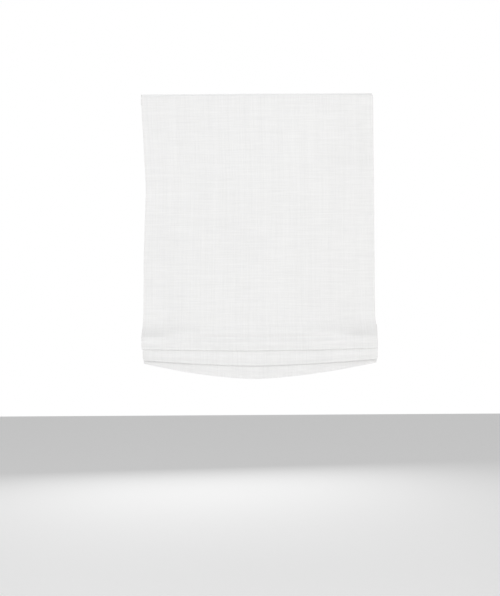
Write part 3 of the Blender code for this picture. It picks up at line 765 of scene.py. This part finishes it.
@dataclass
class FaceCloth:
    """The face cloth, with its hems, its drift and its swag."""

    finishes: Finishes
    section: ClothSection = field(default_factory=ClothSection)
    width: float = 0.876
    thickness: float = 0.0008
    hem_width: float = 0.038
    hem_rise: float = 0.0005
    hem_blur: float = 0.003
    hem_end: Span = (0.03, 0.05)
    edge_round: float = 0.0003
    edge_angle: float = math.radians(60.0)
    sag_depth: float = 0.0585
    sag_power: float = 1.6
    sag_centre: float = -0.045
    columns: int = 96
    lift_inset: float = 0.050
    blend_start: float = -0.05
    ring_pull: float = 0.110
    hidden_tuck: float = 0.030
    tuck_reach: float = 0.03
    ripple_depth: float = 0.0022
    ripple_start: Span = (0.045, 0.16)
    ripple_end: Span = (-0.02, 0.06)
    ripple_mean: float = 0.5
    ripple_swing: float = 0.9
    ripple_scale: Span = (4.2, 1.6)
    ripple_seed: float = 0.4
    billow: Curve = (
        (-0.75, 0.0), (-0.5, 0.003), (-0.35, 0.007), (-0.2, 0.014), (-0.1, 0.0225),
        (-0.05, 0.029), (-0.02, 0.0345), (0.0, 0.039), (0.018, 0.045), (0.03, 0.0484),
        (0.038, 0.0489), (0.047, 0.0464), (0.055, 0.0424), (0.063, 0.0404), (0.071, 0.0419),
        (0.08, 0.0455), (0.091, 0.0488))
    first_belly: Curve = (
        (-0.048, 0.0), (-0.038, 0.0018), (-0.03, 0.0024), (-0.023, 0.0012), (-0.016, -0.0016),
        (-0.009, -0.0052), (-0.004, -0.0034), (0.002, 0.0))
    second_belly: Curve = (
        (-0.062, 0.0), (-0.05, 0.0008), (-0.04, 0.0026), (-0.03, 0.0034), (-0.022, 0.0022),
        (-0.015, -0.0006), (-0.009, -0.0042), (-0.004, -0.003), (0.002, 0.0))
    crest_drop: float = 0.010
    crest_start: Span = (-0.3, -0.02)
    crest_end: Span = (0.05, 0.09)
    wander: float = 0.0010
    wander_start: float = 0.1
    wander_scale: Span = (6.0, 3.0)
    wander_seed: float = 2.7
    skirt_share: float = 0.9
    skirt_swing: Curve = (
        (-0.03, 0.0), (-0.022, 0.004), (-0.015, 0.011), (-0.007, 0.019), (0.0, 0.0229),
        (0.01, 0.0246), (0.022, 0.0256), (0.035, 0.0252))
    skirt_curl: float = 0.005
    curl_reach: float = 0.045
    left_edge: Curve = (
        (0.0, -0.4335), (0.067, -0.432), (0.172, -0.4257), (0.247, -0.4222), (0.348, -0.4176),
        (0.584, -0.4248), (0.772, -0.4272), (0.84, -0.4285), (0.865, -0.429), (0.97, -0.4282),
        (1.21, -0.425), (1.83, -0.423))
    right_edge: Curve = (
        (0.0, 0.4398), (0.172, 0.4398), (0.348, 0.4408), (0.584, 0.4404), (0.772, 0.4404),
        (0.835, 0.4412), (0.865, 0.4445), (0.97, 0.446), (1.21, 0.446), (1.83, 0.443))
    top_dip: float = 0.0028
    top_dip_x: float = -0.385
    top_dip_width: float = 0.035
    top_dip_reach: float = 0.05

    def __post_init__(self) -> None:
        """Work out the section's path and the places that the drape is measured from."""
        self.path = self.section.path()
        self.length = self.path[-1][2]
        self.gather_arc = self.section.panel_drop
        self.bottoms = self.fold_bottoms()
        self.back_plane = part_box("face_cloth")[1][1]
        self.half = self.width / 2

    def fold_bottoms(self) -> list[float]:
        """Find the folds' lower edges.

        Returns:
            The arc length at each.
        """
        lowest = []
        for before, here, after in zip(self.path, self.path[1:], self.path[2:]):
            if here[1] < before[1] and here[1] <= after[1]:
                lowest.append(here[2])
        return lowest[:len(self.section.fold_drops)]

    def share(self, arc: float) -> float:
        """Share of the gathered length that lies above a place."""
        return max(0.0, arc - self.gather_arc) / (self.length - self.gather_arc)

    def sag(self, arc: float, across: float) -> float:
        """How far the cloth swags.

        Args:
            arc: length along the cloth.
            across: place across it, -1 to 1.

        Returns:
            The drop in metres.
        """
        side = across - self.sag_centre
        reach = 1.0 - self.sag_centre if side > 0 else 1.0 + self.sag_centre
        return self.sag_depth * self.share(arc) * (1.0 - abs(side / reach) ** self.sag_power)

    def freedom(self, x: float) -> float:
        """How free the cloth is of the rings, from 0 on a lift line to 1 between them."""
        from_line = abs(x) - (self.half - self.lift_inset)
        return 1.0 - math.exp(-(from_line / self.ring_pull) ** 2)

    def tuck(self, arc: float, across: float) -> float:
        """Metres that the lower edges of the hidden folds are tucked up in the middle."""
        near = sum(math.exp(-((arc - bottom) / self.tuck_reach) ** 2)
                   for bottom in self.bottoms[2:])
        return self.hidden_tuck * near * (1.0 - abs(across) ** self.sag_power)

    def slack(self, plain: float, arc: float, x: float) -> float:
        """How far the cloth stands forward of its plain section, which is none at the lift lines.

        The panel swells over the stack, dips, and swells again at the first fold, and each
        fold that shows is fuller above its lower edge.

        Args:
            plain: how far forward the plain section is.
            arc: length along the cloth.
            x: place across it, in metres.

        Returns:
            The distance in metres.
        """
        start, end = (self.gather_arc + reach for reach in self.ripple_end)
        waver = unevenness(x, arc, self.ripple_scale, self.ripple_seed)
        ripple = max(0.0, self.ripple_mean + self.ripple_swing * waver)
        forward = self.ripple_depth * ripple * fade(*self.ripple_start, arc)
        forward *= 1.0 - fade(start, end, arc)
        past_panel = arc - self.gather_arc
        if past_panel < self.billow[-1][0]:
            forward += smooth_curve(self.billow, past_panel) - plain
        forward *= self.freedom(x)
        for bottom, belly in zip(self.bottoms, (self.first_belly, self.second_belly)):
            forward += smooth_curve(belly, arc - bottom)
        return forward

    def swing(self, arc: float, across: float, z: float) -> float:
        """How far the skirt swings forward where it comes out under the folds.

        Args:
            arc: length along the cloth.
            across: place across it, -1 to 1.
            z: its height.

        Returns:
            The distance in metres.
        """
        if arc < self.length - self.section.skirt_drop * self.skirt_share:
            return 0.0
        edge = self.section.first_fold - self.section.fold_drops[1]
        edge -= self.sag(self.bottoms[1], across)
        curl = self.skirt_curl * fade(self.length - self.curl_reach, self.length, arc)
        return smooth_curve(self.skirt_swing, edge - z) - curl

    def place(self, u: float, row: int) -> Vector:
        """Where a point of the cloth hangs.

        Args:
            u: place across the cloth, 0 to 1.
            row: the row of the section.

        Returns:
            The point.
        """
        forward, height, arc = self.path[row]
        left = smooth_curve(self.left_edge, arc)
        right = smooth_curve(self.right_edge, arc)
        across = 2 * u - 1
        x = left + (right - left) * u
        z = height - self.sag(arc, across) + self.tuck(arc, across)
        past_panel = arc - self.gather_arc
        past_crest = 1.0 - fade(*self.crest_end, past_panel)
        z -= self.crest_drop * fade(*self.crest_start, past_panel) * past_crest
        waver = unevenness(x, arc, self.wander_scale, self.wander_seed)
        z -= self.wander * fade(0.0, self.wander_start, self.share(arc)) * waver
        near_top = 1.0 - fade(0.0, self.top_dip_reach, arc)
        from_dip = (x - self.top_dip_x) / self.top_dip_width
        z -= near_top * self.top_dip * math.exp(-from_dip ** 2)
        forward += self.slack(forward, arc, x) + self.swing(arc, across, z)
        return Vector((x, self.back_plane - forward, z))

    def build(self) -> Piece:
        """Make the cloth and thicken it.

        Returns:
            The cloth.
        """
        rows = len(self.path) - 1
        bm = bmesh.new()
        bmesh.ops.create_grid(bm, x_segments=self.columns, y_segments=rows, size=0.5)
        uv_layer = bm.loops.layers.uv.new(CLOTH_UV)
        flat = {}
        for vert in bm.verts:
            u, row = vert.co.x + 0.5, round((0.5 - vert.co.y) * rows)
            flat[vert] = (u, row)
            vert.co = self.place(u, row)
        for face in bm.faces:
            for loop in face.loops:
                u, row = flat[loop.vert]
                loop[uv_layer].uv = ((u - 0.5) * self.width, self.path[row][2])
        weights = [self.hem_weight(*flat[vert]) for vert in bm.verts]
        cloth = make_piece("shade_cloth", bm, self.finishes.linen)
        cloth.data.materials.append(self.finishes.linen_back)
        group = cloth.vertex_groups.new(name=HEM_GROUP)
        for index, weight in enumerate(weights):
            group.add([index], weight, "REPLACE")
        self.thicken(cloth)
        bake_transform(cloth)
        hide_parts("face_cloth")
        return cloth

    def hem_weight(self, u: float, row: int) -> float:
        """Share of the full thickness at a place.

        Args:
            u: place across the cloth, 0 to 1.
            row: the row of the section.

        Returns:
            The share, which is 1 in the side hems.
        """
        arc = self.path[row][2]
        single = self.thickness / (self.thickness + self.hem_rise)
        from_side = min(u, 1 - u) * self.width
        in_side = 1.0 - fade(self.hem_width - self.hem_blur, self.hem_width + self.hem_blur,
                             from_side)
        start, end = (self.gather_arc + reach for reach in self.hem_end)
        return single + (1.0 - single) * in_side * (1.0 - fade(start, end, arc))

    def thicken(self, cloth: Piece) -> None:
        """Give the sheet its thickness towards its face and round its edges.

        Args:
            cloth: the single sheet, whose normals look to the face.
        """
        skin = cloth.modifiers.new("thickness", "SOLIDIFY")
        skin.thickness = self.thickness + self.hem_rise
        skin.offset = 1.0
        skin.vertex_group = HEM_GROUP
        skin.material_offset = 1
        turned_edge = cloth.modifiers.new("turned_edge", "BEVEL")
        turned_edge.width = self.edge_round
        turned_edge.segments = 2
        turned_edge.limit_method = "ANGLE"
        turned_edge.angle_limit = self.edge_angle
        bpy.context.view_layer.update()
        evaluated = cloth.evaluated_get(bpy.context.evaluated_depsgraph_get())
        finished = bpy.data.meshes.new_from_object(evaluated)
        cloth.modifiers.clear()
        cloth.vertex_groups.clear()
        cloth.data = finished
        LOG.info("shade_cloth: %d faces with its thickness", len(finished.polygons))


@dataclass
class RingRows:
    """The rings sewn to the back of the cloth, each with its tack of thread."""

    finishes: Finishes
    wire: float = 0.001
    thread: float = 0.00022
    tack_turns: int = 4
    tack_pitch: float = 2.6
    tack_lift: float = 1.6
    tack_lean: float = 0.15
    tack_facets: tuple[int, int] = (20, 6)

    def build(self) -> None:
        """Make a smooth ring and its tack for each ring of the frame."""
        for body, nodes in frame["record"]["behaviour"]["bodies"].items():
            for node in nodes:
                if "ring_" in node:
                    self.build_ring(node, body)

    def build_ring(self, node: str, body: str) -> None:
        """Make one ring and its tack.

        Args:
            node: the frame's ring.
            body: the body that it rides on.
        """
        centre, size = extent(node)
        radius = size.y / 2 - self.wire
        bm = bmesh.new()
        add_torus(bm, centre, radius, self.wire, Vector((0.0, 0.0, 1.0)))
        bmesh.ops.recalc_face_normals(bm, faces=bm.faces)
        ring = make_piece("sewn_" + node, bm, self.finishes.by_slot["ring_plastic"], body)
        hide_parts(node)

        bm = bmesh.new()
        front = centre - Vector((0.0, radius, 0.0))
        for turn in range(self.tack_turns):
            offset = (turn - (self.tack_turns - 1) / 2) * self.tack_pitch * self.thread
            add_torus(bm, front + Vector((offset, 0.0, 0.0)),
                      self.wire + self.tack_lift * self.thread, self.thread,
                      Vector((1.0, self.tack_lean, 0.0)).normalized(), *self.tack_facets)
        bmesh.ops.recalc_face_normals(bm, faces=bm.faces)
        tack = make_piece("tack_" + node, bm, self.finishes.thread, body)


@dataclass
class LiftCords:
    """The lift cords: turns wound on each spool, and the straight fall to the anchor."""

    finishes: Finishes
    diameter: float = 0.0014
    turns: float = 8.25
    turn_steps: int = 40
    turn_pitch: float = 1.03
    fall_step: float = 0.012
    sides: int = 10

    def route(self, name: str, side: int) -> list[Vector]:
        """Points along a cord, from its innermost turn to its anchor.

        Args:
            name: left or right.
            side: -1 or 1.

        Returns:
            The points.
        """
        spool, _ = extent("cord_spool_" + name)
        low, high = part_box("lift_cord_" + name)
        outer = (Vector(high) - Vector(low)).y / 2
        radius = outer - self.diameter / 2
        lift_x = extent("gathered_ring_0_" + name)[0].x
        points = []
        for left in range(round(self.turns * self.turn_steps), -1, -1):
            angle = -math.tau * left / self.turn_steps
            x = lift_x - side * left / self.turn_steps * self.diameter * self.turn_pitch
            points.append(Vector((x, spool.y - radius * math.cos(angle),
                                  spool.z - radius * math.sin(angle))))
        count = math.ceil((spool.z - low[2]) / self.fall_step)
        for step in range(1, count + 1):
            z = spool.z + (low[2] - spool.z) * step / count
            points.append(Vector((lift_x, spool.y - radius, z)))
        return points

    def build(self) -> None:
        """Make both cords."""
        for name, side in SIDES:
            route = self.route(name, side)
            bm = sweep(route, self.diameter / 2, self.sides)
            cord = make_piece("braided_cord_" + name, bm, self.finishes.by_slot["lift_cord"])
            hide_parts("lift_cord_" + name)
            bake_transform(cord)


def sweep(route: list[Vector], radius: float, sides: int) -> BMesh:
    """Carry a cord's round section along a route.

    Args:
        route: points close together.
        radius: of the section.
        sides: facets round it.

    Returns:
        The closed tube, with a UV map of the turns round it and the metres along it.
    """
    bm = bmesh.new()
    uv_layer = bm.loops.layers.uv.new(BRAID_UV)
    arc_layer = bm.verts.layers.float.new("arc")
    turn_layer = bm.verts.layers.float.new("turn")
    rings = []
    arc = 0.0
    normal = Vector((1.0, 0.0, 0.0))
    for index, point in enumerate(route):
        before, after = route[max(index - 1, 0)], route[min(index + 1, len(route) - 1)]
        along = (after - before).normalized()
        normal = (normal - along * normal.dot(along)).normalized()
        turn = Matrix((normal, along.cross(normal), along)).transposed().to_4x4()
        made = bmesh.ops.create_circle(bm, segments=sides, radius=radius,
                                       matrix=Matrix.Translation(point) @ turn)
        if index:
            arc += (point - route[index - 1]).length
        for side, vert in enumerate(made["verts"]):
            vert[arc_layer] = arc
            vert[turn_layer] = side / sides
        rings.append(edges_of(made))
    for first, second in zip(rings, rings[1:]):
        bmesh.ops.bridge_loops(bm, edges=first + second)
    for end in (rings[0], rings[-1]):
        bmesh.ops.edgeloop_fill(bm, edges=end)
    bmesh.ops.recalc_face_normals(bm, faces=bm.faces)
    for face in bm.faces:
        wraps = max(loop.vert[turn_layer] for loop in face.loops) > 1 - 1.5 / sides
        for loop in face.loops:
            around = loop.vert[turn_layer]
            if wraps and around == 0.0:
                around = 1.0
            loop[uv_layer].uv = (around, loop.vert[arc_layer])
    return bm


@dataclass
class SpreaderBar:
    """The bar behind the skirt, and the set screws of the anchors that end the lift cords."""

    finishes: Finishes
    bar_edge: float = 0.0007
    screw_radius: float = 0.0016
    screw_taper: float = 0.86
    screw_depth: float = 0.0006
    screw_sink: float = 0.0001

    def build(self) -> None:
        """Make the bar with rolled edges, and both set screws."""
        bm = bmesh.new()
        add_block(bm, *extent("spreader_bar"), self.bar_edge)
        bar = make_piece("spreader_flat", bm, self.finishes.by_slot["aluminium"],
                         Body.STACK.value)
        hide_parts("spreader_bar")
        for name, _ in SIDES:
            self.build_screw(name)

    def build_screw(self, name: str) -> None:
        """Make the set screw in the back of an anchor.

        Args:
            name: left or right.
        """
        anchor, size = extent("cord_anchor_" + name)
        back = Vector((anchor.x, anchor.y + size.y / 2, anchor.z - size.z / 4))
        bm = bmesh.new()
        turn = Matrix.Rotation(math.pi / 2, 4, "X")
        sunk = Matrix.Translation(back - Vector((0.0, self.screw_sink, 0.0)))
        bmesh.ops.create_cone(bm, cap_ends=True, segments=24, radius1=self.screw_radius,
                              radius2=self.screw_radius * self.screw_taper,
                              depth=self.screw_depth, matrix=sunk @ turn)
        screw = make_piece("anchor_screw_" + name, bm, self.finishes.by_slot["steel"],
                           Body.STACK.value)


@dataclass
class Spools:
    """The cord spools, turned smooth, with rounded flanges."""

    finishes: Finishes
    flange: float = 0.0012
    flange_rise: float = 0.0030
    hub: float = 0.0026
    hub_radius: float = 0.00501
    bore_radius: float = 0.0036

    def build(self) -> None:
        """Make both spools."""
        for name, _ in SIDES:
            node = "cord_spool_" + name
            centre, size = extent(node)
            end = size.x / 2
            outer = end - self.hub
            inner = outer - self.flange
            radius = size.z / 2
            drum = radius - self.flange_rise
            round_by = self.flange / 3
            half = [(inner, drum), (inner, radius - round_by), (inner + round_by, radius),
                    (outer - round_by, radius), (outer, radius - round_by),
                    (outer, self.hub_radius), (end, self.hub_radius), (end, self.bore_radius)]
            outline = [(-along, out) for along, out in reversed(half)] + half
            spool = make_piece("turned_spool_" + name, turned(outline, centre),
                               self.finishes.by_slot["grey_plastic"], Body.SHAFT.value)
            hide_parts(node)


@dataclass(frozen=True)
class Lamp:
    """A soft square lamp that the camera doesn't see."""

    name: str
    place: Triple
    power: float
    colour: Triple
    size: float = 2.8
    aim: Triple = (0.0, 0.0, -0.55)

    def build(self) -> None:
        """Hang the lamp and turn it to the shade."""
        data = bpy.data.lights.new(self.name, "AREA")
        data.size = self.size
        data.energy = self.power
        data.color = self.colour
        lamp = bpy.data.objects.new(self.name, data)
        bpy.context.scene.collection.objects.link(lamp)
        lamp.location = self.place
        lamp.visible_camera = False
        towards = Vector(self.aim) - Vector(self.place)
        lamp.rotation_euler = towards.to_track_quat("-Z", "Y").to_euler()


@dataclass
class Studio:
    """The floor, the light and the camera."""

    surround: float = 0.55
    floor_height: float = -2.0
    floor_size: float = 16.0
    distance: float = 3.6
    metres_per_pixel: float = 0.00375
    axis_column: float = 290.0
    middle_column: float = 257.4
    top_row: float = 94.2
    tilt: float = math.radians(1.3)
    roll: float = math.radians(-0.35)
    clip_end: float = 100.0
    lamps: tuple[Lamp, ...] = (
        Lamp("key", (-1.0, -3.6, -0.1), 38.0, (0.965, 0.985, 1.0)),
        Lamp("fill", (1.2, -3.4, -1.1), 32.0, (1.0, 0.978, 0.94)),
        Lamp("top", (0.2, -1.9, 1.6), 13.0, (0.98, 0.99, 1.0)),
        Lamp("back", (-0.5, 3.4, 0.2), 36.0, (1.0, 1.0, 1.0)))

    def set_view(self) -> None:
        """Show white as white, with no film curve."""
        view = bpy.context.scene.view_settings
        view.view_transform = "Standard"
        view.look = "None"

    def place_camera(self) -> None:
        """Set the camera at the photograph's viewing angle."""
        cloth_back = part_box("loop_strip")[0][1]
        data = bpy.data.cameras.new("camera")
        data.sensor_width = SENSOR_MM
        data.lens = SENSOR_MM * (self.distance / self.metres_per_pixel) / IMAGE_HEIGHT
        data.shift_x = (IMAGE_WIDTH / 2 - self.axis_column) / IMAGE_HEIGHT
        data.clip_end = self.clip_end
        camera = bpy.data.objects.new("camera", data)
        bpy.context.scene.collection.objects.link(camera)
        x = (self.axis_column - self.middle_column) * self.metres_per_pixel
        cloth_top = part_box("face_cloth")[1][2]
        middle = cloth_top - (IMAGE_HEIGHT / 2 - self.top_row) * self.metres_per_pixel
        camera.location = (x, cloth_back - self.distance,
                           middle - self.distance * math.tan(self.tilt))
        level = Euler((math.pi / 2 + self.tilt, 0.0, 0.0)).to_matrix()
        camera.rotation_euler = (level @ Matrix.Rotation(self.roll, 3, "Z")).to_euler()
        bpy.context.scene.camera = camera

    def build_floor(self) -> None:
        """Lay a plain pale floor, below the shade's lowest reach."""
        bm = bmesh.new()
        bmesh.ops.create_grid(bm, x_segments=1, y_segments=1, size=self.floor_size / 2,
                              matrix=Matrix.Translation((0.0, 0.0, self.floor_height)))
        floor = make_piece("floor", bm, FloorFinish("floor", Tone.FLOOR).build())

    def light(self) -> None:
        """Light the shade with an even white surround and soft lamps round it."""
        world = bpy.data.worlds.new("surround")
        world.use_nodes = True
        tree = world.node_tree
        surround = tree.nodes["Background"]
        surround.inputs["Color"].default_value = (1.0, 1.0, 1.0, 1.0)
        strength = tree.nodes.new("ShaderNodeMapRange")
        strength.inputs["To Min"].default_value = self.surround
        strength.inputs["To Max"].default_value = 1.0
        seen = tree.nodes.new("ShaderNodeLightPath")
        tree.links.new(seen.outputs["Is Camera Ray"], strength.inputs["Value"])
        tree.links.new(strength.outputs["Result"], surround.inputs["Strength"])
        bpy.context.scene.world = world
        for lamp in self.lamps:
            lamp.build()


def main() -> None:
    """Build every piece in order."""
    logging.basicConfig(level=logging.INFO, format="%(name)s %(message)s")
    finishes = Finishes()
    studio = Studio()
    studio.set_view()
    studio.place_camera()
    finishes.dress_frame()
    for part in (LiftCords, FaceCloth, RingRows, Spools, SpreaderBar):
        part(finishes).build()
    studio.build_floor()
    studio.light()


if __name__ == "__main__":
    main()
